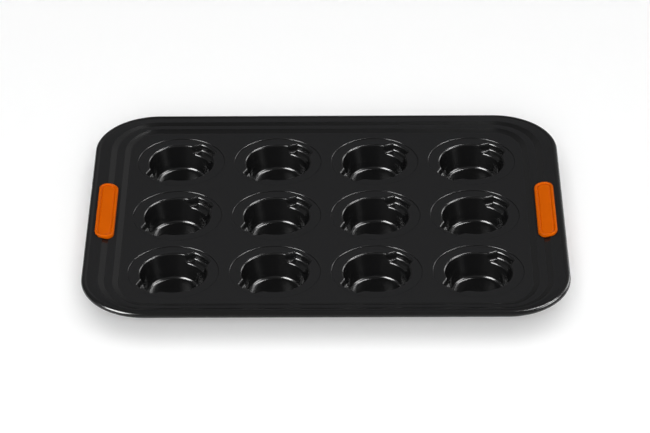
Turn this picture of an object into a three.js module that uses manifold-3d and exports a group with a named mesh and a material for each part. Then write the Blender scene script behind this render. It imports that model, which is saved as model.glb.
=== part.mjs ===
// A muffin pan with pot-shaped cups: a pressed steel tray whose edge is rolled round a wire, twelve cups lapped
// under its deck, and two silicone grips pushed through slots in its flange.
// Millimetres, +Z up. X runs along the pan, and the origin lies under its middle, on the surface it stands on.

import * as THREE from 'three';
import { mergeVertices } from 'three/addons/utils/BufferGeometryUtils.js';
import Module from 'manifold-3d';

const wasm = await Module();
wasm.setup();

// Pattern of cups
const columns = 4;
const rows = 3;
const sheet = 0.8; // thickness of the steel, in the tray and in the cups
const web = 9.2; // deck left between the rings of two neighbouring cups
const endMargin = 7.1; // deck between the end cups' rings and the border of the short sides
const sideMargin = 7.9; // deck between the outer cups' rings and the border of the long sides

// Cup: the round mould, as its inside measures
const cupDepth = 22.2; // from the deck to the inside floor
const cupMouthRadius = 27.7; // where the wall would meet the ledge without its fillet
const cupFloorRadius = 22.4; // where the wall would meet the floor without its fillet
const mouthFillet = 1.7; // round the mouth and the lugs
const floorFillet = 4;
const flangeGap = 3; // between the hidden flanges of two neighbouring cups

// Lug pockets, two on each cup, opposite each other
const lugBearing = 45; // degrees from +X to the first lug
const lugLength = 5.8; // how far a lug reaches past the mouth
const lugDepth = 6.3; // from the ledge to the lug's floor
const lugTipHalfWidth = 8.5;
const lugRootHalfWidth = 10.8;
const lugCornerBlend = 0.8; // rounding of the lug's outer corners
const lugRootBlend = 1.2; // rounding where the lug's sides meet the mouth
const lugTaper = 0.14; // lean of the lug's walls
const lugFloorFall = 0.4; // the floor's fall towards the cup
const ledge = 2; // flat left between a lug's fillet and the ring

// Border of the tray, from the rolled edge inwards
const outerCornerRadius = 54;
const beadRadius = 2.5;
const beadRise = 1.8; // top of the bead above the flange
const wireClearance = 0.3;
const curlGap = 10; // degrees that the rolled edge stops short of level with the bead's centre
const shoulder = 1; // from the bead to the flange
const flangeShort = 8;
const flangeLong = 3.3;
const flangeFall = 0.15; // towards the bead
const upperSlopeShort = 10;
const upperSlopeLong = 5.7;
const upperSlopeRise = 1.55;
const stepShort = 1.3;
const stepLong = 2.5;
const stepRise = 0.2;
const lowerSlopeShort = 5;
const lowerSlopeLong = 5;
const lowerSlopeRise = 2;

// Silicone grips
const gripWidth = 16.2;
const gripLength = 80.8;
const gripInset = 7.1; // from the pan's outer edge to the grip
const gripTilt = 1.6; // how much higher the grip's outer edge is than its inner one
const gripProud = 2.95; // middle of the grip's top above the flange's inner edge
const gripBelow = 3; // middle of the grip's base under the sheet at the flange's inner edge
const gripRounding = 1.2;
const gripLip = 2.2; // width of the raised lip round the grip's field
const fieldRecess = 0.6;
const gripOverlap = 3.2; // how far the grip covers the sheet round its slot
const gripClearance = 0.3;

// Fineness of the facets
const cornerSteps = 6;
const holeSteps = 32;
const curlSteps = 9;
const curlInnerSteps = 7;
const wireSteps = 8;
const plainSteps = 5; // between two lugs
const lugFractions = [-1.12, -0.96, -0.73, -0.62, 0, 0.62, 0.73, 0.96, 1.12]; // of the lug's half angle
const gripSteps = 6;
const gripBevelSteps = 1;

// Worked out from the sizes above
const lugReach = cupMouthRadius + lugLength;
const ringRadius = lugReach + mouthFillet + ledge;
const pitch = 2 * ringRadius + web;
const cupFlangeRadius = ringRadius + (web - flangeGap) / 2;
const deckTop = cupDepth + sheet;
const taper = (cupMouthRadius - cupFloorRadius) / (cupDepth - sheet);
const filletMiddle = 1 - Math.SQRT1_2; // how far a fillet's middle lies from either face, as a share of its radius

// Stations of the border's top face: inset on the short sides, inset on the long sides, height over the deck
const edge = 2 * beadRadius + shoulder;
const flangeOuter = { short: edge, long: edge };
const flangeInner = { short: flangeOuter.short + flangeShort, long: flangeOuter.long + flangeLong };
const upperFoot = { short: flangeInner.short + upperSlopeShort, long: flangeInner.long + upperSlopeLong };
const lowerTop = { short: upperFoot.short + stepShort, long: upperFoot.long + stepLong };
const borderFoot = { short: lowerTop.short + lowerSlopeShort, long: lowerTop.long + lowerSlopeLong };
borderFoot.z = 0;
lowerTop.z = lowerSlopeRise;
upperFoot.z = lowerTop.z + stepRise;
flangeInner.z = upperFoot.z + upperSlopeRise;
flangeOuter.z = flangeInner.z - flangeFall;
const borderStations = [borderFoot, lowerTop, upperFoot, flangeInner, flangeOuter];

const beadCentre = flangeOuter.z + beadRise - beadRadius;
const halfLength = ((columns - 1) / 2) * pitch + ringRadius + endMargin + borderFoot.short;
const halfWidth = ((rows - 1) / 2) * pitch + ringRadius + sideMargin + borderFoot.long;

// Geometry from rings of points, each ring anticlockwise seen from above. Neighbouring rings are joined by quads,
// and the skin's ends are closed by fans round the given points, or joined to each other where none are given.
function skin(rings, firstCentre, lastCentre) {
  const count = rings[0].length;
  const positions = rings.flat().flatMap((point) => point.toArray());
  const index = [];
  const joined = firstCentre ? rings.length - 1 : rings.length;
  for (let k = 0; k < joined; k++) {
    const next = (k + 1) % rings.length;
    for (let j = 0; j < count; j++) {
      const turn = (j + 1) % count;
      index.push(k * count + j, next * count + j, next * count + turn);
      index.push(k * count + j, next * count + turn, k * count + turn);
    }
  }
  if (firstCentre) {
    const first = positions.push(...firstCentre.toArray()) / 3 - 1;
    const last = positions.push(...lastCentre.toArray()) / 3 - 1;
    const end = (rings.length - 1) * count;
    for (let j = 0; j < count; j++) {
      const turn = (j + 1) % count;
      index.push(first, j, turn);
      index.push(last, end + turn, end + j);
    }
  }
  const geometry = new THREE.BufferGeometry();
  geometry.setAttribute('position', new THREE.Float32BufferAttribute(positions, 3));
  geometry.setIndex(index);
  return geometry;
}

// Cuts and joins
function toSolid(geometry) {
  const bare = geometry.clone();
  bare.deleteAttribute('normal');
  bare.deleteAttribute('uv');
  const merged = mergeVertices(bare);
  const vertProperties = new Float32Array(merged.attributes.position.array);
  const triVerts = new Uint32Array(merged.index.array);
  return new wasm.Manifold(new wasm.Mesh({ numProp: 3, vertProperties, triVerts }));
}

function toGeometry(solid) {
  const mesh = solid.getMesh();
  const geometry = new THREE.BufferGeometry();
  geometry.setAttribute('position', new THREE.BufferAttribute(mesh.vertProperties, 3));
  geometry.setIndex(new THREE.BufferAttribute(mesh.triVerts, 1));
  return geometry;
}

// One ring round the tray at an inset and a height over the deck. All corners share the outer corner's centre, so a
// band that is wider on the short sides than on the long ones runs round the corner in an ellipse.
function trayRing({ short, long, z }) {
  const centreX = halfLength - outerCornerRadius;
  const centreY = halfWidth - outerCornerRadius;
  const corners = [[1, 1], [-1, 1], [-1, -1], [1, -1]];
  return corners.flatMap(([sideX, sideY], quarter) => {
    return Array.from({ length: cornerSteps + 1 }, (_, step) => {
      const angle = ((quarter + step / cornerSteps) * Math.PI) / 2;
      const x = sideX * centreX + (outerCornerRadius - short) * Math.cos(angle);
      const y = sideY * centreY + (outerCornerRadius - long) * Math.sin(angle);
      return new THREE.Vector3(x, y, deckTop + z);
    });
  });
}

// Point of the rolled edge at a distance from the bead's centre. The angle grows from the inward side over the top.
function beadStation(radius, angle) {
  const inset = beadRadius + radius * Math.cos(angle);
  return { short: inset, long: inset, z: beadCentre + radius * Math.sin(angle) };
}

// Angle at which the flange runs into the bead: the tangent to the bead's circle from the flange's outer edge
function beadTangent() {
  const along = flangeOuter.short - beadRadius;
  const rise = flangeOuter.z - beadCentre;
  return Math.atan2(rise, along) + Math.acos(beadRadius / Math.hypot(along, rise));
}

function arc(radius, from, to, steps) {
  return Array.from({ length: steps + 1 }, (_, k) => beadStation(radius, from + ((to - from) * k) / steps));
}

// Plan of the grip, moved outwards by a margin: a slot along Y with half-round ends
function gripPlan(margin) {
  const radius = gripWidth / 2 + margin;
  const reach = (gripLength - gripWidth) / 2;
  const shape = new THREE.Shape();
  shape.absarc(0, reach, radius, 0, Math.PI);
  shape.absarc(0, -reach, radius, Math.PI, 2 * Math.PI);
  return shape;
}

// A prism of that plan, rising outwards across its width as the flange does. Heights are those of its middle.
function gripPrism(margin, bottom, top, rounding = 0) {
  const geometry = new THREE.ExtrudeGeometry(gripPlan(margin), {
    depth: top - bottom - 2 * rounding,
    curveSegments: gripSteps,
    bevelEnabled: rounding > 0,
    bevelThickness: rounding,
    bevelSize: rounding,
    bevelOffset: -rounding,
    bevelSegments: gripBevelSteps,
  });
  geometry.applyMatrix4(new THREE.Matrix4().makeShear(0, gripTilt / gripWidth, 0, 0, 0, 0));
  geometry.translate(halfLength - gripInset - gripWidth / 2, 0, bottom + rounding);
  return geometry;
}

// The tray: the border's top face, round the bead and back along the underside, then the holes and slots
function deckSheet() {
  const start = beadTangent();
  const end = 2 * Math.PI - THREE.MathUtils.degToRad(curlGap);
  const under = borderStations.map((station) => ({ ...station, z: station.z - sheet })).reverse();
  const stations = [
    ...borderStations,
    ...arc(beadRadius, start, end, curlSteps),
    ...arc(beadRadius - sheet, end, start, curlInnerSteps),
    ...under,
  ];
  const top = new THREE.Vector3(0, 0, deckTop);
  const bottom = new THREE.Vector3(0, 0, deckTop - sheet);
  let solid = toSolid(skin(stations.map(trayRing), top, bottom));
  for (const [x, y] of cupCentres()) {
    const hole = new THREE.CylinderGeometry(ringRadius, ringRadius, deckTop, holeSteps);
    hole.rotateX(Math.PI / 2);
    hole.translate(x, y, deckTop);
    solid = solid.subtract(toSolid(hole));
  }
  const slot = gripPrism(-gripOverlap, 0, 2 * deckTop);
  for (const turn of [0, Math.PI]) {
    solid = solid.subtract(toSolid(slot.clone().rotateZ(turn)));
  }
  return toGeometry(solid);
}

function cupCentres() {
  return Array.from({ length: rows * columns }, (_, k) => {
    const column = k % columns;
    const row = Math.floor(k / columns);
    return [(column - (columns - 1) / 2) * pitch, ((rows - 1) / 2 - row) * pitch];
  });
}

// Half angle of a lug, from its axis to where its side meets the mouth
const lugHalfAngle = Math.asin(lugRootHalfWidth / cupMouthRadius);

function softMin(a, b, blend) {
  const share = THREE.MathUtils.clamp(0.5 + (b - a) / (2 * blend), 0, 1);
  return b + (a - b) * share - blend * share * (1 - share);
}

// Radius of the mouth at an angle from the nearest lug's axis: the circle, or outside it the lug's outline, with
// tapered sides and an end that is round about the cup's middle
function mouthOutline(angle, offset) {
  const slope = (lugRootHalfWidth - lugTipHalfWidth) / lugLength;
  const across = Math.abs(Math.sin(angle));
  const along = Math.cos(angle);
  const side = (lugRootHalfWidth + slope * cupMouthRadius + offset * Math.hypot(1, slope)) / (across + slope * along);
  const lug = softMin(side, lugReach + offset, lugCornerBlend);
  return -softMin(-lug, -(cupMouthRadius + offset), lugRootBlend);
}

// Section of the cup at an angle from a lug's axis, from the floor up to the flange's edge. An offset of one sheet
// gives the outside face.
function cupSection(angle, offset) {
  const mouth = mouthOutline(angle, offset);
  const lugShare = THREE.MathUtils.clamp((mouth - cupMouthRadius - offset) / lugLength, 0, 1);
  const lean = THREE.MathUtils.lerp(taper, lugTaper, lugShare);
  const ledgeTop = -sheet - offset;
  const floor = -cupDepth - offset;
  const lugFloor = ledgeTop - lugDepth;
  const wall = (z) => cupMouthRadius + offset + taper * (z + sheet);
  const bend = floorFillet + offset;
  const round = mouthFillet - offset;
  return {
    floorEdge: [wall(floor) - bend, floor],
    floorBend: [wall(floor + bend) - filletMiddle * bend, floor + filletMiddle * bend],
    wallFoot: [wall(floor + bend), floor + bend],
    lugEdge: [wall(lugFloor - lugFloorFall), lugFloor - lugFloorFall],
    lugFoot: [mouth - lean * lugDepth, lugFloor],
    mouthFoot: [mouth - lean * round, ledgeTop - round],
    mouthBend: [mouth + filletMiddle * round, ledgeTop - filletMiddle * round],
    mouthEdge: [mouth + round, ledgeTop],
    flangeEdge: [cupFlangeRadius, ledgeTop],
  };
}

function cupAngles() {
  const lug = lugFractions.map((fraction) => fraction * lugHalfAngle);
  const from = lug[lug.length - 1];
  const to = Math.PI + lug[0];
  const plain = Array.from({ length: plainSteps - 1 }, (_, k) => from + ((to - from) * (k + 1)) / plainSteps);
  const half = [...lug, ...plain];
  return [...half, ...half.map((angle) => angle + Math.PI)];
}

function cup() {
  const bearing = THREE.MathUtils.degToRad(lugBearing);
  const angles = cupAngles();
  const ring = (name, offset) => angles.map((angle) => {
    const fromLug = angle - Math.PI * Math.round(angle / Math.PI);
    const [radius, z] = cupSection(fromLug, offset)[name];
    return new THREE.Vector3(radius * Math.cos(angle + bearing), radius * Math.sin(angle + bearing), z);
  });
  const inside = ['floorEdge', 'floorBend', 'wallFoot', 'lugEdge', 'lugFoot', 'mouthFoot', 'mouthBend', 'mouthEdge',
    'flangeEdge'];
  const outside = ['flangeEdge', 'mouthEdge', 'mouthFoot', 'lugFoot', 'lugEdge', 'wallFoot', 'floorEdge'];
  const rings = [...inside.map((name) => ring(name, 0)), ...outside.map((name) => ring(name, sheet))];
  const floor = new THREE.Vector3(0, 0, -cupDepth);
  const base = new THREE.Vector3(0, 0, -cupDepth - sheet);
  return skin(rings, floor, base);
}

function rimWire() {
  const radius = beadRadius - sheet - wireClearance;
  const stations = arc(radius, 0, 2 * Math.PI, wireSteps).slice(0, wireSteps);
  return skin(stations.map(trayRing));
}

// The grip on the +X side: a pad with a recessed field, grooved all round for the sheet that it is pushed into
function grip() {
  const top = deckTop + flangeInner.z + gripProud;
  const bottom = deckTop + flangeInner.z - sheet - gripBelow;
  const pad = toSolid(gripPrism(0, bottom, top, gripRounding));
  const field = toSolid(gripPrism(-gripLip, top - fieldRecess, top + gripProud));
  const waist = toSolid(gripPrism(-gripOverlap - gripClearance, 0, 2 * deckTop));
  const face = [beadStation(beadRadius, beadTangent()), ...borderStations.toReversed()];
  const above = face.map(({ short, z }) => new THREE.Vector2(halfLength - short, deckTop + z + gripClearance));
  const below = face.map(({ short, z }) => new THREE.Vector2(halfLength - short, deckTop + z - sheet - gripClearance));
  const section = new THREE.Shape([...above, ...below.reverse()]);
  const slab = new THREE.ExtrudeGeometry(section, { depth: 2 * gripLength, bevelEnabled: false });
  slab.rotateX(Math.PI / 2);
  slab.translate(0, gripLength, 0);
  const groove = toSolid(slab).subtract(waist);
  return toGeometry(pad.subtract(field).subtract(groove));
}

// Finishes
const coating = new THREE.MeshStandardMaterial({ color: 0x1b1b1d, roughness: 0.38, metalness: 0.2 });
const steel = new THREE.MeshStandardMaterial({ color: 0x9a9b9d, roughness: 0.45, metalness: 1 });
const silicone = new THREE.MeshStandardMaterial({ color: 0xcc5502, roughness: 0.55, metalness: 0 });

function piece(name, geometry, material) {
  const mesh = new THREE.Mesh(geometry, material);
  mesh.name = name;
  return mesh;
}

const pan = new THREE.Group();
pan.add(piece('deck_sheet', deckSheet(), coating));
pan.add(piece('rim_wire', rimWire(), steel));
const cupGeometry = cup();
cupCentres().forEach(([x, y], k) => {
  const name = `cup_row${Math.floor(k / columns) + 1}_col${(k % columns) + 1}`;
  const mesh = piece(name, cupGeometry, coating);
  mesh.position.set(x, y, deckTop);
  pan.add(mesh);
});
const gripGeometry = grip();
pan.add(piece('grip_right', gripGeometry, silicone));
const gripLeft = piece('grip_left', gripGeometry, silicone);
gripLeft.rotation.z = Math.PI;
pan.add(gripLeft);

export default pan;
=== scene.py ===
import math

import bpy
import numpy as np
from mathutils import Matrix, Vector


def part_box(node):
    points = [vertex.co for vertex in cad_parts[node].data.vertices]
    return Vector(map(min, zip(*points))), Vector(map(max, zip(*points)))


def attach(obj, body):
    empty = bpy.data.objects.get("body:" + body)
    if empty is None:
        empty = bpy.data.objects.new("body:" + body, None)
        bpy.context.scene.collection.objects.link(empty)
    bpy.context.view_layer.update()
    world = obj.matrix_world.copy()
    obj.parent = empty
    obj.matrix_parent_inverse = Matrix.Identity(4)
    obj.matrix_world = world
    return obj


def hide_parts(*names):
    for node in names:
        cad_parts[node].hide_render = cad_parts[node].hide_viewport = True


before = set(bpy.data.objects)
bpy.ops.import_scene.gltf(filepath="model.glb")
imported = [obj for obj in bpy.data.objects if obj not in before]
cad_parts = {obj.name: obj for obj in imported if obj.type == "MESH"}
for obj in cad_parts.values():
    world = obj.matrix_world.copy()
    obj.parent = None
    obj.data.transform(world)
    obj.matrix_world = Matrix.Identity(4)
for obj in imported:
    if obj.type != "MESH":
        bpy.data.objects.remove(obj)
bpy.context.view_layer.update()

# The looks of a muffin pan with pot-shaped cups: the fine surfaces of its pressed sheet, its cups and its
# silicone grips, their finishes, and a plain white studio. Shapes are worked out in millimetres in the
# frame of the CAD model, and new_piece turns them into metres.

MM = 0.001
QUARTER_TURN = math.pi / 2


def box_mm(node):
    """Lowest and highest corner of a CAD node, in millimetres."""
    low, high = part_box(node)
    return np.array(low) / MM, np.array(high) / MM


# Cups, and the sheet that they and the tray are pressed from
COLUMNS = 4
ROWS = 3
SHEET = 0.8
CUP_DEPTH = 22.2  # from the deck to the inside floor
MOUTH_RADIUS = 27.7  # where the wall would meet the ledge without its fillet
FLOOR_RADIUS = 22.4  # where the wall would meet the floor without its fillet
MOUTH_FILLET = 1.7
FLOOR_FILLET = 3.2
RING_RADIUS = 37.2  # hole in the deck
RING_EDGE_WIDTH = 0.6  # rounding of the hole's upper edge
RING_EDGE_DROP = 0.5

# Lugs of a cup
LUG_BEARING = math.radians(45)  # from +X to the first lug
LUG_LENGTH = 5.8  # past the mouth
LUG_DEPTH = 6.3  # from the ledge to the lug's floor
LUG_TIP_HALF = 8.5  # half the width at the tip
LUG_ROOT_HALF = 10.8  # half the width at the mouth
LUG_TAPER = 0.14  # lean of the lug's walls
LUG_FLOOR_FALL = 0.4  # towards the cup
LUG_EDGE_ROUND = 1.05  # where the cup's wall bends out into the lug's floor
LUG_FOOT_ROUND = 1.4  # where the lug's floor turns up into its wall
LUG_CORNER_BLEND = 0.8  # rounding of the outer corners
LUG_ROOT_BLEND = 1.2  # rounding where the sides meet the mouth

# Border of the tray: inset on the short sides, inset on the long sides, height over the deck
DECK_EDGE = (32.5, 24.0, 0.0)
BORDER_FOOT = (30.3, 22.7, 0.0)
LOWER_MIDDLE = (27.8, 19.4, 0.82)
LOWER_TOP = (25.2, 16.9, 1.76)
LOWER_DIP = (23.6, 16.0, 1.74)
UPPER_FOOT = (18.8, 13.2, 2.0)
FLANGE_CREST = (13.4, 8.9, 3.6)
FLANGE_INNER = (11.4, 7.8, 3.52)
FLANGE_OUTER = (6.0, 5.7, 4.5)
LOWER_BORDER = [DECK_EDGE, BORDER_FOOT, LOWER_MIDDLE, LOWER_TOP, LOWER_DIP]
BORDER = [*LOWER_BORDER, UPPER_FOOT, FLANGE_CREST, FLANGE_INNER, FLANGE_OUTER]
SLOPE_ROUNDING = 0.22  # share of a slope that each bend takes
CORNER_RADIUS = 54.0
BEAD_RADIUS = 2.5
BEAD_TOP = 5.4  # over the deck
CURL_END = math.radians(350)  # round the bead, from its inward side over the top

# Grips
GRIP_TILT = 1.6  # how much higher the outer edge is than the inner one
GRIP_ROUNDING = 1.2  # of the outer edges
GRIP_UNDERCUT = 1.3  # rounding down to the sheet
GRIP_LIP = 2.1  # from the grip's edge to the lip's bevel
LIP_BEVEL = 0.5
GROOVE_WIDTH = 1.5
GROOVE_DEPTH = 1.15
FIELD_DEPTH = 0.5
GRIP_OVERLAP = 3.2  # how far a grip covers the sheet round its slot
GRIP_CLEARANCE = 0.3

# Fineness of the tray
EDGE_STEPS = 40  # along one side of a cell
CURL_STEPS = 22  # round the rolled edge
SLOPE_STEPS = 4  # in a bend of the border
DECK_STEPS = 3  # from a cell's side to its hole
SLOT_STEPS = 13  # from the side of a slot's cell to the slot

# Fineness of the cups
PLAIN_STEPS = 20  # from a lug to halfway between the lugs
LUG_SIDE_STEPS = 44
LUG_MIDDLE_STEPS = 9
LUG_SIDE_START = math.radians(9)  # from the lug's axis
LUG_SIDE_END = math.radians(34)
FILLET_STEPS = 10
FLOOR_STEPS = 3
RUN_STEPS = 5  # in a straight run of the wall
LEDGE_STEPS = 2

# Fineness of the grips, and of all quarter circles
GRIP_END_STEPS = 33
GRIP_SIDE_STEPS = 26
GROOVE_STEPS = 11
FIELD_SHARES = (0.0, 0.4, 0.8)  # rings in the field, as shares of its half width
BASE_SHARES = (0.6, 0.0)  # the same under the grip
ROUND_STEPS = 7

# Meshes
WELD_DIGITS = 4  # decimals of a millimetre
SAME_PLACE = 0.008  # how near counts as on the deck's edge
SHARP_ANGLE = math.radians(50)

# Places taken from the frame, and what follows from them
_, deck_high = box_mm("deck_sheet")
HALF_LENGTH = deck_high[0]
HALF_WIDTH = deck_high[1]
cup_low, cup_high = box_mm("cup_row1_col1")
CUP_FLANGE_RADIUS = (cup_high[0] - cup_low[0]) / 2
DECK_TOP = cup_high[2] + SHEET
DECK_HALF = np.array([HALF_LENGTH - DECK_EDGE[0], HALF_WIDTH - DECK_EDGE[1]])
CORNER_CENTRE = np.array([HALF_LENGTH - CORNER_RADIUS, HALF_WIDTH - CORNER_RADIUS])
TAPER = (MOUTH_RADIUS - FLOOR_RADIUS) / (CUP_DEPTH - SHEET)
WALL_LEAN = math.atan(TAPER)
LUG_REACH = MOUTH_RADIUS + LUG_LENGTH


def cup_name(row, column):
    """The CAD node of a cup, whose rows and columns are counted from 1."""
    return f"cup_row{row + 1}_col{column + 1}"


def cup_centre(row, column):
    """Middle of a cup, seen from above."""
    low, high = box_mm(cup_name(row, column))
    return (low[:2] + high[:2]) / 2


# Mesh helpers
def grid_faces(rows, columns):
    """Quads of a grid whose points are numbered row by row, with its last column joined to the first."""
    index = np.arange(rows * columns).reshape(rows, columns)
    right = np.roll(index, -1, axis=1)
    quads = [index[:-1], right[:-1], right[1:], index[1:]]
    return np.stack([corner.ravel() for corner in quads], axis=1)


def join(parts):
    """Puts several (points, quads) together as one, numbering on from part to part."""
    starts = np.cumsum([0] + [len(points) for points, _ in parts[:-1]])
    points = np.concatenate([points for points, _ in parts])
    quads = np.concatenate([quads + start for (_, quads), start in zip(parts, starts)])
    return points, quads


def weld(points, quads):
    """Merges points that lie in the same place and drops those that no face uses. A quad that loses a corner
    becomes a triangle, and one that loses two is dropped."""
    keys = np.round(points, WELD_DIGITS)
    _, first, same = np.unique(keys, axis=0, return_index=True, return_inverse=True)
    quads = same.reshape(-1)[quads]
    lost = quads == np.roll(quads, -1, axis=1)
    whole = quads[lost.sum(axis=1) == 0]
    clipped = lost.sum(axis=1) == 1
    triangles = quads[clipped][~lost[clipped]].reshape(-1, 3)
    used, corners = np.unique(np.append(whole, triangles), return_inverse=True)
    whole, triangles = corners[:whole.size].reshape(-1, 4), corners[whole.size:].reshape(-1, 3)
    return points[first][used], whole.tolist() + triangles.tolist()


def new_piece(name, points, faces, material):
    """A mesh object at the origin from points in millimetres, smooth but for its sharp edges."""
    mesh = bpy.data.meshes.new(name)
    mesh.from_pydata((points * MM).tolist(), [], faces)
    mesh.polygons.foreach_set("use_smooth", np.ones(len(mesh.polygons), bool))
    mesh.set_sharp_from_angle(angle=SHARP_ANGLE)
    mesh.materials.append(material)
    mesh.update()
    piece = bpy.data.objects.new(name, mesh)
    bpy.context.scene.collection.objects.link(piece)
    return piece


def soft_min(a, b, blend):
    """The smaller of two values, with the corner between them rounded over the given blend."""
    share = np.clip(0.5 + (b - a) / (2 * blend), 0, 1)
    return b + (a - b) * share - blend * share * (1 - share)


def soft_max(a, b, blend):
    """The larger of two values, with the corner between them rounded in the same way."""
    return -soft_min(-a, -b, blend)


def rounded_chain(points, share, steps):
    """A chain of straight runs whose inner corners are rounded. A corner B between A and C becomes the curve
    (1-t)^2 (B + share (A - B)) + 2 t (1-t) B + t^2 (B + share (C - B)) for t from 0 to 1."""
    points = np.asarray(points, float)
    before, corner, after = points[:-2, None], points[1:-1, None], points[2:, None]
    t = np.linspace(0, 1, steps)[None, :, None]
    start = corner + share * (before - corner)
    end = corner + share * (after - corner)
    curve = (1 - t) ** 2 * start + 2 * t * (1 - t) * corner + t ** 2 * end
    return np.concatenate([points[:1], curve.reshape(-1, points.shape[1]), points[-1:]])


# The tray
def bead_stations(radius, start, end, steps):
    """Stations on the rolled edge: a circle round the bead's centre, its angle growing from the inward side
    over the top."""
    angle = np.linspace(start, end, steps)
    inset = BEAD_RADIUS + radius * np.cos(angle)
    height = BEAD_TOP - BEAD_RADIUS + radius * np.sin(angle)
    return np.stack([inset, inset, height], axis=1)


def bead_tangent():
    """Angle at which the flange, drawn straight from its outer edge, touches the bead's circle."""
    along = FLANGE_OUTER[0] - BEAD_RADIUS
    rise = FLANGE_OUTER[2] - (BEAD_TOP - BEAD_RADIUS)
    return math.atan2(rise, along) + math.acos(BEAD_RADIUS / math.hypot(along, rise))


def border_top():
    """Stations of the border's top face from the deck to the bead, with soft bends between its slopes."""
    touch = bead_stations(BEAD_RADIUS, bead_tangent(), bead_tangent(), 1)[0]
    return rounded_chain([*BORDER, touch], SLOPE_ROUNDING, SLOPE_STEPS)


def bend_start(bend):
    """Number of the border's station at which one of its bends starts."""
    return 1 + (BORDER.index(bend) - 1) * SLOPE_STEPS


def border_section():
    """The closed way round the border's sheet: along the top, round the bead, back inside it and
    underneath."""
    top = border_top()
    start = bead_tangent()
    outside = bead_stations(BEAD_RADIUS, start, CURL_END, CURL_STEPS)
    inside = bead_stations(BEAD_RADIUS - SHEET, CURL_END, start, CURL_STEPS)
    under = top[-2::-1] - np.array([0, 0, SHEET])
    return np.concatenate([top[:-1], outside, inside, under])


def steps_between(stops):
    """Evenly spaced values from each stop to the next, without the last stop."""
    runs = [np.linspace(a, b, EDGE_STEPS, endpoint=False) for a, b in zip(stops[:-1], stops[1:])]
    return np.concatenate(runs)


def rectangle_walk(xs, ys):
    """Points along a rectangle's sides, anticlockwise from its lowest corner. xs and ys hold the stops."""
    across, up = steps_between(xs), steps_between(ys)
    back, down = steps_between(xs[::-1]), steps_between(ys[::-1])
    x = np.concatenate([across, np.full(len(up), xs[-1]), back, np.full(len(down), xs[0])])
    y = np.concatenate([np.full(len(across), ys[0]), up, np.full(len(back), ys[-1]), down])
    return np.stack([x, y], axis=1)


def tray_directions(walk):
    """Base point and outward direction for points on the sides of the deck's rectangle. Along a straight
    side the base runs with the point, and round a corner it stays at the corner's centre while the
    direction turns evenly from one side's to the other's."""
    base = np.clip(walk, -CORNER_CENTRE, CORNER_CENTRE)
    past = np.clip((np.abs(walk) - CORNER_CENTRE) / (DECK_HALF - CORNER_CENTRE), 0, 1)
    turn = math.pi / 4 * (1 + past[:, 1] - past[:, 0])
    return base, np.sign(walk) * np.stack([np.cos(turn), np.sin(turn)], axis=1)


def tray_ring(walk, station):
    """The ring round the tray at a station: base + (corner radius - inset) direction, at its height."""
    base, direction = tray_directions(walk)
    reach = CORNER_RADIUS - np.asarray(station[:2])
    height = np.full((len(walk), 1), DECK_TOP + station[2])
    return np.concatenate([base + reach * direction, height], axis=1)


def halfway(values):
    """The values midway between neighbours."""
    return [(a + b) / 2 for a, b in zip(values[:-1], values[1:])]


def cell_stops():
    """Lines that part the deck into one cell round each cup."""
    x = [cup_centre(0, column)[0] for column in range(COLUMNS)]
    y = [cup_centre(row, 0)[1] for row in reversed(range(ROWS))]
    xs = np.array([-DECK_HALF[0], *halfway(x), DECK_HALF[0]])
    ys = np.array([-DECK_HALF[1], *halfway(y), DECK_HALF[1]])
    return xs, ys


def deck_cell(xs, ys, centre):
    """The flat sheet round one cup's hole. Lines run straight from the cell's sides to the hole's rounded
    edge, down through the sheet, and back out underneath."""
    walk = rectangle_walk(xs, ys)
    outer = (np.abs(walk) > DECK_HALF - SAME_PLACE).any(axis=1)
    sides = np.where(outer[:, None], tray_ring(walk, DECK_EDGE)[:, :2], walk) - centre
    length = np.linalg.norm(sides, axis=1)
    direction = sides / length[:, None]
    edge = np.linspace(0, QUARTER_TURN, ROUND_STEPS)
    edge_radius = RING_RADIUS + RING_EDGE_WIDTH * (1 - np.sin(edge))
    edge_height = RING_EDGE_DROP * (np.cos(edge) - 1)
    share = np.linspace(0, 1, DECK_STEPS, endpoint=False)[:, None]
    top = length + (edge_radius[0] - length) * share
    bottom = length + (RING_RADIUS - length) * share[::-1]
    bend = np.repeat(np.append(edge_radius, RING_RADIUS)[:, None], len(walk), axis=1)
    radius = np.concatenate([top, bend, bottom])
    heights = [np.zeros(DECK_STEPS), edge_height, np.full(1 + DECK_STEPS, -SHEET)]
    height = DECK_TOP + np.concatenate(heights)
    plan = centre + radius[:, :, None] * direction
    z = np.repeat(height[:, None], len(walk), axis=1)
    points = np.concatenate([plan, z[:, :, None]], axis=2).reshape(-1, 3)
    return points, grid_faces(*radius.shape)


def sheet_height(x):
    """Height of the tray's top face on the short sides, at a place x along the pan, read off the border's
    stations at the same inset."""
    top = border_top()
    return DECK_TOP + np.interp(HALF_LENGTH - np.abs(x), top[::-1, 0], top[::-1, 2])


def slot_edge(points, node):
    """The places on the edge of a grip's slot, which has half-round ends, that lie nearest to the points."""
    low, high = box_mm(node)
    centre = (low[:2] + high[:2]) / 2
    half_width, half_length = (high[:2] - low[:2]) / 2 - GRIP_OVERLAP
    reach = half_length - half_width
    along = np.clip(points[:, 1], -reach, reach)
    spine = np.stack([np.full(len(points), centre[0]), along], axis=1)
    away = points - spine
    return spine + half_width * away / np.linalg.norm(away, axis=1)[:, None]


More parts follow.
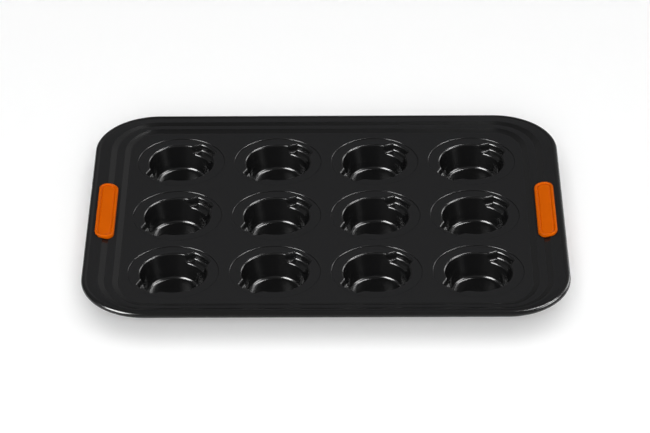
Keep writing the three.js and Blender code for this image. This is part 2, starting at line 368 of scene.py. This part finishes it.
def slot_cell(rings, inner, outer, first, node):
    """The sheet round a grip's slot. Lines run straight from the sides of a rectangle of the border, which
    spans the stations from inner to outer and one run of the walk, to the slot's edge, and back
    underneath."""
    last = first + EDGE_STEPS
    sides = [
        rings[inner:outer, first],
        rings[outer, first:last],
        rings[outer:inner:-1, last],
        rings[inner, last:first:-1],
    ]
    start = np.concatenate(sides)
    share = np.linspace(0, 1, SLOT_STEPS)[:, None, None]
    plan = start[:, :2] + share * (slot_edge(start[:, :2], node) - start[:, :2])
    height = sheet_height(plan[:, :, 0])
    height[0] = start[:, 2]
    top = np.concatenate([plan, height[:, :, None]], axis=2)
    under = top[::-1] - np.array([0, 0, SHEET])
    points = np.concatenate([top, under])
    return points.reshape(-1, 3), grid_faces(*points.shape[:2])


def make_tray(material):
    """The pressed sheet: a cell round each cup, the border's section carried round the deck's rectangle,
    and a cell in the border round the slot of each grip, in the middle of the short sides."""
    xs, ys = cell_stops()
    parts = []
    for row in range(ROWS):
        for column in range(COLUMNS):
            down = ROWS - 1 - row
            parts.append(deck_cell(xs[column:column + 2], ys[down:down + 2], cup_centre(row, column)))
    walk = rectangle_walk(xs, ys)
    rings = np.stack([tray_ring(walk, station) for station in border_section()])
    kept = np.ones((len(rings) - 1, len(walk)), bool)
    inner, outer = bend_start(LOWER_DIP), bend_start(FLANGE_OUTER)
    right = COLUMNS + ROWS // 2
    left = right + COLUMNS + ROWS
    for side, node in ((right, "grip_right"), (left, "grip_left")):
        first = side * EDGE_STEPS
        parts.append(slot_cell(rings, inner, outer, first, node))
        kept[inner:outer, first:first + EDGE_STEPS] = False
        kept[len(kept) - outer:len(kept) - inner, first:first + EDGE_STEPS] = False
    quads = grid_faces(len(rings), len(walk))[:, ::-1][kept.ravel()]
    parts.append((rings.reshape(-1, 3), quads))
    return new_piece("pressed_sheet", *weld(*join(parts)), material)


# The cups
def cup_angles():
    """Angles round a cup from a lug's axis, closer together at the sides of the lugs."""
    stops = [-QUARTER_TURN, -LUG_SIDE_END, -LUG_SIDE_START, LUG_SIDE_START, LUG_SIDE_END, QUARTER_TURN]
    counts = [PLAIN_STEPS, LUG_SIDE_STEPS, LUG_MIDDLE_STEPS, LUG_SIDE_STEPS, PLAIN_STEPS]
    runs = [np.linspace(a, b, n, endpoint=False) for a, b, n in zip(stops[:-1], stops[1:], counts)]
    half = np.concatenate(runs)
    return np.concatenate([half, half + math.pi])


def cup_wall(height, offset):
    """Radius of the tapered wall at a height over the deck: the mouth's radius less the taper times the
    depth under the ledge, moved outwards by an offset square to the wall."""
    return MOUTH_RADIUS + offset / math.cos(WALL_LEAN) + TAPER * (height + SHEET)


def lug_wall(angle, height, offset):
    """Radius of a lug's wall at an angle from its axis, moved outwards by an offset: the nearer of its
    tapered side and its end, which is round about the cup's middle, with a rounded corner. Both lean
    outwards as they rise."""
    slope = (LUG_ROOT_HALF - LUG_TIP_HALF) / LUG_LENGTH
    across, along = np.abs(np.sin(angle)), np.cos(angle)
    outward = offset + LUG_TAPER * (height + SHEET)
    side = LUG_ROOT_HALF + slope * MOUTH_RADIUS + outward * math.hypot(1, slope)
    return soft_min(side / (across + slope * along), LUG_REACH + outward, LUG_CORNER_BLEND)


def stations(radius, height, angle):
    """Radius and height, by station and angle, as one array."""
    return np.stack(np.broadcast_arrays(radius, height, angle)[:2])


def run(start, end, shares):
    """Stations on the straight way from one station to another: start + share (end - start)."""
    return start[:, None] + shares[:, None] * (end - start)[:, None]


def cup_floor(angle, offset):
    """The flat floor, in even steps from its middle, and the arc in which it turns up and which touches
    both the floor and the tapered wall."""
    bend = FLOOR_FILLET + offset
    low = -CUP_DEPTH - offset
    turn = np.linspace(-QUARTER_TURN, -WALL_LEAN, FILLET_STEPS)[:, None]
    bend_radius = cup_wall(low + bend, offset) - bend / math.cos(WALL_LEAN) + bend * np.cos(turn)
    bend_height = low + bend + bend * np.sin(turn)
    share = np.linspace(0, 1, FLOOR_STEPS, endpoint=False)[:, None]
    radius = np.concatenate([share * bend_radius[0], bend_radius])
    height = np.concatenate([np.full_like(share, low), bend_height])
    return stations(radius, height, angle)


def lug_floor(angle, offset):
    """Both edges of the lugs' floor: the arc in which the cup's wall bends out into it, and the arc in
    which it turns up into the lug's wall. Away from the lugs both lie on the cup's wall."""
    level = -SHEET - offset - LUG_DEPTH
    turn = np.linspace(0, QUARTER_TURN, ROUND_STEPS)[:, None]
    foot_round = LUG_FOOT_ROUND + offset
    foot_height = level + foot_round * (1 - np.cos(turn))
    foot_lug = lug_wall(angle, foot_height, offset - foot_round * (1 - np.sin(turn)))
    foot_radius = np.maximum(foot_lug, cup_wall(foot_height, offset))
    edge_round = LUG_EDGE_ROUND - offset
    edge_height = level - LUG_FLOOR_FALL - edge_round * (1 - np.sin(turn))
    room = foot_radius[0] - cup_wall(foot_height[0], offset)
    reach = np.minimum(edge_round, room / 2)
    edge_radius = cup_wall(edge_height, offset) + reach * (1 - np.cos(turn))
    return stations(edge_radius, edge_height, angle), stations(foot_radius, foot_height, angle)


def cup_mouth(angle, offset):
    """The fillet round the mouth and the lugs: an arc from the cup's or the lug's wall to the ledge."""
    fillet = MOUTH_FILLET - offset
    middle = -SHEET - offset - fillet
    turn = np.linspace(math.pi - WALL_LEAN, QUARTER_TURN, FILLET_STEPS)[:, None]
    swing = fillet / math.cos(WALL_LEAN) + fillet * np.cos(turn)
    round_mouth = cup_wall(middle, offset) + swing
    radius = soft_max(round_mouth, lug_wall(angle, middle, offset + swing), LUG_ROOT_BLEND)
    return stations(radius, middle + fillet * np.sin(turn), angle)


def cup_face(angle, offset):
    """Radius and height of one face of a cup, by station and angle; an offset of one sheet gives the
    outside. The floor, its fillet and the tapered wall are round. At the lugs the wall bends out into a
    floor, which turns up through a fillet into the lug's own wall, and everything ends in the mouth's
    fillet and the ledge."""
    turned = angle - math.pi * np.round(angle / math.pi)
    inner_shares = np.linspace(0, 1, RUN_STEPS, endpoint=False)[1:]
    ledge_shares = np.linspace(0, 1, LEDGE_STEPS + 1)[1:]
    floor = cup_floor(turned, offset)
    edge, foot = lug_floor(turned, offset)
    mouth = cup_mouth(turned, offset)
    climb = run(floor[:, -1], edge[:, 0], inner_shares)
    shelf = run(edge[:, -1], foot[:, 0], inner_shares)
    side = run(foot[:, -1], mouth[:, 0], inner_shares)
    side_height = side[1]
    side_lug = lug_wall(turned, side_height, offset)
    side[0] = soft_max(cup_wall(side_height, offset), side_lug, LUG_ROOT_BLEND)
    rim = stations(CUP_FLANGE_RADIUS, -SHEET - offset, turned)
    ledge = run(mouth[:, -1], rim, ledge_shares)
    return np.concatenate([floor, climb, edge, shelf, foot, side, mouth, ledge], axis=1)


def make_cup(name, centre, material):
    """One cup: its inside from the middle of the floor to the flange's edge, then its outside back to the
    middle. A point lies at its radius from the centre, in the direction angle + bearing."""
    angle = cup_angles()
    inside = cup_face(angle, 0.0)
    outside = cup_face(angle, SHEET)
    radius, height = np.concatenate([inside, outside[:, ::-1]], axis=1)
    x = centre[0] + radius * np.cos(angle + LUG_BEARING)
    y = centre[1] + radius * np.sin(angle + LUG_BEARING)
    points = np.stack([x, y, DECK_TOP + height], axis=2).reshape(-1, 3)
    return new_piece(name, *weld(points, grid_faces(*radius.shape)[:, ::-1]), material)


# The grips
def grip_outline(reach):
    """The way round a slot with half-round ends: at each point the angle that points outwards, and the
    place on the spine, which runs from -reach to reach, that it is measured from."""
    turn = np.linspace(0, math.pi, GRIP_END_STEPS)
    along = np.linspace(reach, -reach, GRIP_SIDE_STEPS)[1:-1]
    side = np.ones_like(along)
    angle = np.concatenate([turn, math.pi * side, turn + math.pi, 2 * math.pi * side])
    spine = np.concatenate([np.full_like(turn, reach), along, np.full_like(turn, -reach), -along])
    return angle, spine


def make_grip(name, node, material):
    """A grip pushed through its slot. Rings run from the middle of the field over the groove and the lip,
    down the outside and under it to the slot, through the sheet, out again underneath and to the middle of
    the base. A ring follows the outline at an inset, and its height follows the grip's tilt or the sheet."""
    low, high = box_mm(node)
    half_width, half_length = (high[:2] - low[:2]) / 2
    centre = (low[:2] + high[:2]) / 2
    angle, spine = grip_outline(half_length - half_width)
    slope = np.sign(centre[0]) * GRIP_TILT / (2 * half_width)
    edge_rise = abs(slope) * (half_width - GRIP_ROUNDING)
    top = high[2] - edge_rise
    base = low[2] + edge_rise

    def tilt(x):
        """Rise of the grip's slope over its middle."""
        return slope * (x - centre[0])

    def rings(surface, insets, heights, shares=1.0):
        """Rings at heights over a surface: spine + share (half width - inset) in the outline's direction. A
        share under 1 draws a ring in towards the spine."""
        insets, heights, shares = np.broadcast_arrays(insets, heights, shares)
        width = (shares * (half_width - insets))[:, None]
        x = centre[0] + width * np.cos(angle)
        y = centre[1] + spine + width * np.sin(angle)
        return np.stack([x, y, surface(x) + heights[:, None]], axis=2)

    quarter = np.linspace(0, QUARTER_TURN, ROUND_STEPS)
    drawn = 1 - np.sin(quarter)
    fallen = 1 - np.cos(quarter)
    wave = np.linspace(1, 0, GROOVE_STEPS)
    groove_depth = GROOVE_DEPTH + (FIELD_DEPTH - GROOVE_DEPTH) * (3 * wave ** 2 - 2 * wave ** 3)
    groove_outer = GRIP_LIP + LIP_BEVEL
    groove_inner = groove_outer + GROOVE_WIDTH
    waist = GRIP_OVERLAP + GRIP_CLEARANCE
    under_sheet = -SHEET - GRIP_CLEARANCE
    skin = [
        rings(tilt, groove_inner, top - FIELD_DEPTH, FIELD_SHARES),
        rings(tilt, groove_outer + GROOVE_WIDTH * wave, top - groove_depth),
        rings(tilt, GRIP_LIP + LIP_BEVEL * drawn, top - LIP_BEVEL * drawn),
        rings(tilt, GRIP_ROUNDING * drawn, top - GRIP_ROUNDING * fallen),
        rings(sheet_height, GRIP_UNDERCUT * fallen, GRIP_CLEARANCE + GRIP_UNDERCUT * drawn),
        rings(sheet_height, [waist, waist, 0.0], [GRIP_CLEARANCE, under_sheet, under_sheet]),
        rings(tilt, GRIP_ROUNDING * fallen, base + GRIP_ROUNDING * drawn),
        rings(tilt, GRIP_ROUNDING, base, BASE_SHARES),
    ]
    points = np.concatenate(skin)
    quads = grid_faces(*points.shape[:2])[:, ::-1]
    return new_piece(name, *weld(points.reshape(-1, 3), quads), material)


# Finishes
SATIN_EDGE = 4.5  # width of the satin strip on the rolled edge
FLAT_BAND = 0.012  # how far a flat may lie from its height
SLOPE_MARGIN = 0.1  # height at the foot and at the top of a slope that is matte still
PAINTED_REFLECTION_LIGHTNESS = 3.6  # colour of the flats, as a multiple of the satin colour: lighter as a painted reflection of the room, in place of the gloss the flats lack
COATING_COLOURS = ((0.0042, 0.0042, 0.0043, 1), (0.006, 0.006, 0.0062, 1))
COATING_ROUGHNESS = (0.18, 0.22)
COATING_SHINE = 0.28
SILICONE_COLOURS = ((0.55, 0.089, 0.0, 1), (0.62, 0.106, 0.0, 1))
SILICONE_ROUGHNESS = (0.36, 0.44)
SILICONE_SHINE = 0.015
WIRE_COLOUR = (0.45, 0.45, 0.46, 1)
WIRE_ROUGHNESS = (0.3, 0.5)
GRAIN_HEIGHT = 0.1 * MM


def new_material(name):
    """A material, its node tree and its shader."""
    material = bpy.data.materials.new(name)
    material.use_nodes = True
    tree = material.node_tree
    return material, tree, tree.nodes["Principled BSDF"]


def noise(tree, place, scale, detail, roughness):
    """A cloudy value from 0 to 1 that is fixed to the piece."""
    texture = tree.nodes.new("ShaderNodeTexNoise")
    texture.inputs["Scale"].default_value = scale
    texture.inputs["Detail"].default_value = detail
    texture.inputs["Roughness"].default_value = roughness
    tree.links.new(place.outputs["Object"], texture.inputs["Vector"])
    return texture.outputs["Fac"]


def between(tree, value, low, high):
    """Turns a value from 0 to 1 into one from low to high."""
    span = tree.nodes.new("ShaderNodeMapRange")
    span.inputs["To Min"].default_value = low
    span.inputs["To Max"].default_value = high
    tree.links.new(value, span.inputs["Value"])
    return span.outputs["Result"]


def tint(tree, value, colours):
    """Turns a value from 0 to 1 into a colour from the first to the second."""
    ramp = tree.nodes.new("ShaderNodeValToRGB")
    for element, colour in zip(ramp.color_ramp.elements, colours):
        element.color = colour
    tree.links.new(value, ramp.inputs["Fac"])
    return ramp.outputs["Color"]


def bump(tree, shader, height, strength):
    """Roughens the shader's surface with a height from 0 to 1."""
    relief = tree.nodes.new("ShaderNodeBump")
    relief.inputs["Strength"].default_value = strength
    relief.inputs["Distance"].default_value = GRAIN_HEIGHT
    tree.links.new(height, relief.inputs["Height"])
    tree.links.new(relief.outputs["Normal"], shader.inputs["Normal"])


def calculate(tree, operation, first, second):
    """A number worked out from two others."""
    result = tree.nodes.new("ShaderNodeMath")
    result.operation = operation
    tree.links.new(first, result.inputs[0])
    tree.links.new(second, result.inputs[1])
    return result.outputs["Value"]


def compare(tree, operation, value, limit, margin=0.0):
    """1 where a value passes a comparison with a fixed limit, and 0 elsewhere."""
    result = tree.nodes.new("ShaderNodeMath")
    result.operation = operation
    tree.links.new(value, result.inputs[0])
    result.inputs[1].default_value = limit
    result.inputs[2].default_value = margin
    return result.outputs["Value"]


def vector_step(tree, operation, value, other=(0, 0, 0)):
    """The node that works something out from a vector and a fixed one."""
    result = tree.nodes.new("ShaderNodeVectorMath")
    result.operation = operation
    tree.links.new(value, result.inputs[0])
    result.inputs[1].default_value = other
    return result


def height_band(tree, height, low, high):
    """1 where a height lies between two heights over the deck, in millimetres, and 0 elsewhere."""
    middle = (DECK_TOP + (low + high) / 2) * MM
    return compare(tree, "COMPARE", height, middle, margin=(high - low) / 2 * MM)


def flat_share(tree, place):
    """1 on the deck, on the flats of the border and on the ledges round the cups, and 0 in the cups, on
    slopes, on the edges of the deck's holes and on the rolled edge, which is told by its distance from the
    corners' centres. That distance leaves height out, because the centre is taken far above the pan."""
    parts = tree.nodes.new("ShaderNodeSeparateXYZ")
    tree.links.new(place.outputs["Object"], parts.inputs["Vector"])
    far_above = 1.0
    centre = (CORNER_CENTRE[0] * MM, CORNER_CENTRE[1] * MM, far_above)
    folded = vector_step(tree, "ABSOLUTE", place.outputs["Object"])
    past = vector_step(tree, "SUBTRACT", folded.outputs["Vector"], centre)
    outward = vector_step(tree, "MAXIMUM", past.outputs["Vector"])
    distance = vector_step(tree, "LENGTH", outward.outputs["Vector"])
    share = compare(tree, "LESS_THAN", distance.outputs["Value"], (CORNER_RADIUS - SATIN_EDGE) * MM)
    bands = [
        ("MULTIPLY", -FLAT_BAND, BEAD_TOP),
        ("SUBTRACT", BORDER_FOOT[2] + SLOPE_MARGIN, LOWER_TOP[2] - SLOPE_MARGIN),
        ("SUBTRACT", UPPER_FOOT[2] + SLOPE_MARGIN, FLANGE_CREST[2] - SLOPE_MARGIN),
        ("MAXIMUM", -SHEET - FLAT_BAND, -SHEET + FLAT_BAND),
    ]
    for operation, low, high in bands:
        share = calculate(tree, operation, share, height_band(tree, parts.outputs["Z"], low, high))
    return share


def coating_material():
    """Black non-stick coating with a very fine grain: matte on the flats of the tray, whose colour is made
    lighter as a painted reflection of the room, and satin, a little cloudy in gloss, in the cups and on the
    edges."""
    material, tree, shader = new_material("black_nonstick_coating")
    place = tree.nodes.new("ShaderNodeTexCoord")
    cloud = noise(tree, place, scale=60, detail=3, roughness=0.6)
    grain = noise(tree, place, scale=2600, detail=2, roughness=0.5)
    flat = flat_share(tree, place)
    colour = vector_step(tree, "SCALE", tint(tree, grain, COATING_COLOURS))
    # Painted reflection: the matte flats get a lighter colour that stands in for the room's reflection they
    # lack.
    tree.links.new(between(tree, flat, 1.0, PAINTED_REFLECTION_LIGHTNESS), colour.inputs["Scale"])
    tree.links.new(colour.outputs["Vector"], shader.inputs["Base Color"])
    tree.links.new(between(tree, cloud, *COATING_ROUGHNESS), shader.inputs["Roughness"])
    tree.links.new(between(tree, flat, COATING_SHINE, 0.0), shader.inputs["Specular IOR Level"])
    bump(tree, shader, grain, strength=0.06)
    return material


def silicone_material():
    """Orange silicone: satin, softly cloudy, with a fine moulded grain."""
    material, tree, shader = new_material("orange_silicone")
    place = tree.nodes.new("ShaderNodeTexCoord")
    cloud = noise(tree, place, scale=90, detail=3, roughness=0.55)
    grain = noise(tree, place, scale=2200, detail=2, roughness=0.5)
    tree.links.new(tint(tree, cloud, SILICONE_COLOURS), shader.inputs["Base Color"])
    tree.links.new(between(tree, grain, *SILICONE_ROUGHNESS), shader.inputs["Roughness"])
    shader.inputs["Specular IOR Level"].default_value = SILICONE_SHINE
    bump(tree, shader, grain, strength=0.12)
    return material


def wire_material():
    """Drawn steel wire, grey, a little cloudy in gloss."""
    material, tree, shader = new_material("drawn_steel_wire")
    place = tree.nodes.new("ShaderNodeTexCoord")
    cloud = noise(tree, place, scale=800, detail=4, roughness=0.6)
    tree.links.new(between(tree, cloud, *WIRE_ROUGHNESS), shader.inputs["Roughness"])
    shader.inputs["Base Color"].default_value = WIRE_COLOUR
    shader.inputs["Metallic"].default_value = 1.0
    return material


# The pan
coating = coating_material()
silicone = silicone_material()
tray = make_tray(coating)
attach(tray, "root")
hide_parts("deck_sheet")
for row in range(ROWS):
    for column in range(COLUMNS):
        node = cup_name(row, column)
        cup = make_cup(node.replace("cup", "pot"), cup_centre(row, column), coating)
        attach(cup, "root")
        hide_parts(node)
for node in ("grip_left", "grip_right"):
    grip = make_grip(f"silicone_{node}", node, silicone)
    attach(grip, "root")
    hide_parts(node)
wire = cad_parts["rim_wire"]
wire.data.materials.clear()
wire.data.materials.append(wire_material())


# The studio
FLOOR_HALF = 5000.0
FLOOR_DROP = 0.05  # under the pan
FLOOR_WHITE = 0.8
FLOOR_GLOW = 0.22
LAMP_DISTANCE = 5.0  # in metres
HORIZON_LIGHT = 0.06
OVERHEAD_LIGHT = 0.05
ROOM_LIGHTS = ((0.28, 0.15), (0.5, 0.35), (0.84, 0.2), (0.94, 0.05))  # sine of the elevation, and light
ROOM_SIDES = (-0.2, 0.25)  # where the room's left side ends and its right side starts, in X
ROOM_LEFT_AND_RIGHT = (0.78, 1.32)  # strength of the light on either side
CAMERA_PLACE = (13.6, -2242.1, 1491.7)  # in millimetres, its height over the deck
CAMERA_PITCH = math.radians(33.666)  # downwards
CAMERA_YAW = math.radians(-0.372)  # to the right
CAMERA_ROLL = math.radians(-0.413)
FOCAL_PIXELS = 3195.7
FRAME_PIXELS = 650
SENSOR_WIDTH = 36.0
CLIP_END = 100.0  # in metres


def grey(light):
    """A grey colour of the given lightness."""
    return (light, light, light, 1)


def stand(name, data, axes, place):
    """Puts a lamp or a camera at a place in metres, with its right, up and back axes as given."""
    matrix = np.eye(4)
    matrix[:3, :3] = np.stack(axes, axis=1)
    matrix[:3, 3] = place
    standing = bpy.data.objects.new(name, data)
    standing.matrix_world = matrix.T.tolist()
    bpy.context.scene.collection.objects.link(standing)
    return standing


def make_floor():
    """A white floor just under the pan. It takes the pan's shadow, and where it is seen, straight, mirrored
    or through something, a little light of its own keeps it white."""
    material, tree, shader = new_material("white_floor")
    shader.inputs["Base Color"].default_value = grey(FLOOR_WHITE)
    shader.inputs["Roughness"].default_value = 1.0
    shader.inputs["Specular IOR Level"].default_value = 0.0
    shader.inputs["Emission Color"].default_value = grey(1)
    path = tree.nodes.new("ShaderNodeLightPath")
    seen = path.outputs["Is Camera Ray"]
    for ray in ("Is Glossy Ray", "Is Transmission Ray"):
        seen = calculate(tree, "ADD", seen, path.outputs[ray])
    tree.links.new(between(tree, seen, 0.0, FLOOR_GLOW), shader.inputs["Emission Strength"])
    corners = FLOOR_HALF * np.array([[-1, -1, 0], [1, -1, 0], [1, 1, 0], [-1, 1, 0]])
    floor = new_piece("floor", corners - np.array([0, 0, FLOOR_DROP]), [[0, 1, 2, 3]], material)


def softbox(name, azimuth, elevation, across, tall, radiance):
    """A far rectangular lamp aimed at the pan. It stands at an azimuth, from +X round to +Y, and an
    elevation, and seems as wide and as tall as the given angles, all in degrees."""
    azimuth, elevation, across, tall = np.radians([azimuth, elevation, across, tall])
    lamp = bpy.data.lights.new(name, "AREA")
    lamp.shape = "RECTANGLE"
    lamp.size = 2 * LAMP_DISTANCE * math.tan(across / 2)
    lamp.size_y = 2 * LAMP_DISTANCE * math.tan(tall / 2)
    lamp.energy = radiance * math.pi * lamp.size * lamp.size_y
    right = np.array([-math.sin(azimuth), math.cos(azimuth), 0.0])
    level = np.array([math.cos(azimuth), math.sin(azimuth), 0.0])
    back = math.cos(elevation) * level + np.array([0, 0, math.sin(elevation)])
    return stand(name, lamp, [right, np.cross(back, right), back], back * LAMP_DISTANCE)


def make_lamps():
    """Soft light from overhead and from the front gives the level, and the panels at both sides are there
    for their reflections."""
    lamps = [
        softbox("overhead", azimuth=270, elevation=80, across=64, tall=64, radiance=1.3),
        softbox("front", azimuth=270, elevation=30, across=40, tall=30, radiance=7),
    ]
    panels = [
        softbox("right_back_panel", azimuth=39, elevation=59.3, across=11, tall=21.6, radiance=46),
        softbox("right_panel", azimuth=-6, elevation=35, across=34, tall=12.7, radiance=29),
        softbox("right_low_panel", azimuth=42, elevation=20, across=22, tall=28, radiance=7),
        softbox("left_panel", azimuth=215, elevation=35, across=32, tall=38, radiance=42),
    ]
    for lamp in lamps:
        lamp.visible_glossy = False
    for panel in panels:
        panel.visible_diffuse = False


def make_world():
    """A dim room: lightest at a third of the way up, dark at the horizon and overhead, and lighter to the
    right than to the left."""
    world = bpy.data.worlds.new("studio")
    world.use_nodes = True
    tree = world.node_tree
    place = tree.nodes.new("ShaderNodeTexCoord")
    parts = tree.nodes.new("ShaderNodeSeparateXYZ")
    tree.links.new(place.outputs["Generated"], parts.inputs["Vector"])
    room = tree.nodes.new("ShaderNodeValToRGB")
    room.color_ramp.elements[0].color = grey(HORIZON_LIGHT)
    room.color_ramp.elements[1].color = grey(OVERHEAD_LIGHT)
    for height, light in ROOM_LIGHTS:
        room.color_ramp.elements.new(height).color = grey(light)
    tree.links.new(parts.outputs["Z"], room.inputs["Fac"])
    side = tree.nodes.new("ShaderNodeMapRange")
    side.interpolation_type = "SMOOTHSTEP"
    side.inputs["From Min"].default_value, side.inputs["From Max"].default_value = ROOM_SIDES
    side.inputs["To Min"].default_value, side.inputs["To Max"].default_value = ROOM_LEFT_AND_RIGHT
    tree.links.new(parts.outputs["X"], side.inputs["Value"])
    background = tree.nodes["Background"]
    tree.links.new(room.outputs["Color"], background.inputs["Color"])
    tree.links.new(side.outputs["Result"], background.inputs["Strength"])
    bpy.context.scene.world = world


def make_camera():
    """The photograph's camera: it looks along +Y, turned by its pitch, its yaw and its roll."""
    ahead = np.array([math.sin(CAMERA_YAW), math.cos(CAMERA_YAW), 0.0])
    forward = math.cos(CAMERA_PITCH) * ahead - np.array([0, 0, math.sin(CAMERA_PITCH)])
    level = np.array([math.cos(CAMERA_YAW), -math.sin(CAMERA_YAW), 0.0])
    above = np.cross(level, forward)
    right = math.cos(CAMERA_ROLL) * level + math.sin(CAMERA_ROLL) * above
    up = math.cos(CAMERA_ROLL) * above - math.sin(CAMERA_ROLL) * level
    lens = bpy.data.cameras.new("camera")
    lens.sensor_width = SENSOR_WIDTH
    lens.lens = FOCAL_PIXELS * SENSOR_WIDTH / FRAME_PIXELS
    lens.clip_end = CLIP_END
    place = (np.array(CAMERA_PLACE) + np.array([0, 0, DECK_TOP])) * MM
    bpy.context.scene.camera = stand("camera", lens, [right, up, -forward], place)


make_floor()
make_lamps()
make_world()
make_camera()
bpy.context.scene.view_settings.view_transform = "Standard"
